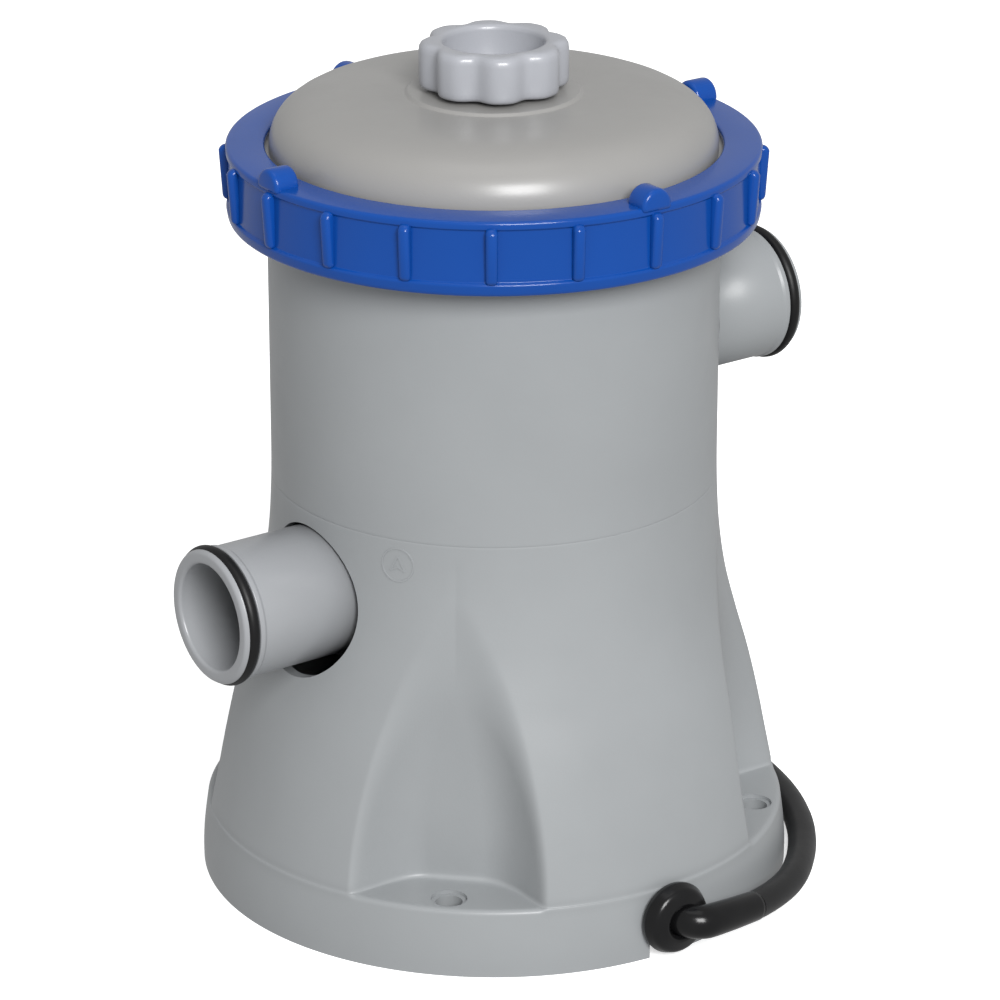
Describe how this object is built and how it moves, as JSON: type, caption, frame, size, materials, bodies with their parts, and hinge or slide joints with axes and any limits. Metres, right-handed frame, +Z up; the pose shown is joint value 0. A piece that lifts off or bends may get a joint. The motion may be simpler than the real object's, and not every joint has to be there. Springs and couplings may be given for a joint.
{
  "type": "cartridge filter pump",
  "caption": "Small electric cartridge filter pump with a screwed lock ring, lid with air release knob, two hose ports and a mains lead.",
  "frame": {"origin": "on the floor below the centre of the base", "axes": "+Z up, outlet port towards -X, inlet port towards +X, mains lead leaves towards -Y"},
  "size_m": [0.2134, 0.2646, 0.212],
  "materials": {
    "housing_grey": "satin moulded plastic",
    "ring_blue": "glossy moulded plastic",
    "lid_grey": "satin moulded plastic",
    "knob_grey": "satin moulded plastic",
    "casing_grey": "satin moulded plastic",
    "seal_rubber": "matte black rubber",
    "grommet_rubber": "glossy black rubber",
    "cord_rubber": "black cable jacket",
    "plug_rubber": "moulded black plug",
    "pin_metal": "nickel plated",
    "tie_white": "plastic",
    "screw_steel": "stainless steel",
    "impeller_white": "moulded plastic",
    "ceramic": "polished ceramic",
    "magnet": "ferrite",
    "motor_black": "moulded plastic",
    "lamination": "stacked steel sheet",
    "copper": "enamelled copper wire",
    "base_grey": "moulded plastic",
    "filter_paper": "pleated paper",
    "cap_white": "moulded plastic"
  },
  "bodies": {
    "housing": {"filter_housing": "housing_grey", "base_skirt": "housing_grey", "pump_casing": "casing_grey", "casing_gasket": "seal_rubber", "casing_screws": "screw_steel", "outlet_seal": "seal_rubber", "inlet_seal": "seal_rubber", "suction_guide": "casing_grey", "pump_shaft": "ceramic", "shaft_seat": "seal_rubber", "rotor_can": "motor_black", "can_seal": "seal_rubber", "motor_cup": "motor_black", "motor_screws": "screw_steel", "stator_core": "lamination", "stator_coils": "copper", "base_plate": "base_grey", "base_screws": "screw_steel", "cord_grommet": "grommet_rubber", "cord_boot": "grommet_rubber", "cord": "cord_rubber", "cord_coil": "cord_rubber", "cord_tail": "cord_rubber", "cord_tie": "tie_white", "plug_body": "plug_rubber", "plug_pins": "pin_metal", "inner_lead": "cord_rubber", "cartridge_media": "filter_paper", "cartridge_cap_low": "cap_white", "cartridge_cap_high": "cap_white", "cartridge_core": "cap_white"},
    "lid_body": {"lid": "lid_grey", "lid_gasket": "seal_rubber"},
    "ring_body": {"lock_ring": "ring_blue"},
    "washer_body": {"valve_washer": "seal_rubber"},
    "knob_body": {"air_knob": "knob_grey"},
    "rotor": {"impeller": "impeller_white", "rotor_sleeve": "ceramic", "rotor_magnet": "magnet"}
  },
  "joints": [
    {"name": "lid_lift", "type": "slide", "parent": "housing", "child": "lid_body", "axis": [0, 0, 1], "range_m": [0, 0.009]},
    {"name": "ring_turn", "type": "hinge", "parent": "lid_body", "child": "ring_body", "pos_m": [0, 0, 0.178], "axis": [0, 0, 1], "range_deg": [0, 540]},
    {"name": "washer_lift", "type": "slide", "parent": "lid_body", "child": "washer_body", "axis": [0, 0, 1], "range_m": [0, 0.0025]},
    {"name": "knob_turn", "type": "hinge", "parent": "washer_body", "child": "knob_body", "pos_m": [0, 0, 0.206], "axis": [0, 0, 1], "range_deg": [0, 360]},
    {"name": "rotor_spin", "type": "hinge", "parent": "housing", "child": "rotor", "pos_m": [0, 0, 0.06], "axis": [0, 0, 1], "continuous": true}
  ],
  "couplings": [
    {"joint": "lid_lift", "follows": "ring_turn", "m_per_rad": 0.00095492},
    {"joint": "washer_lift", "follows": "knob_turn", "m_per_rad": 0.00039788}
  ]
}
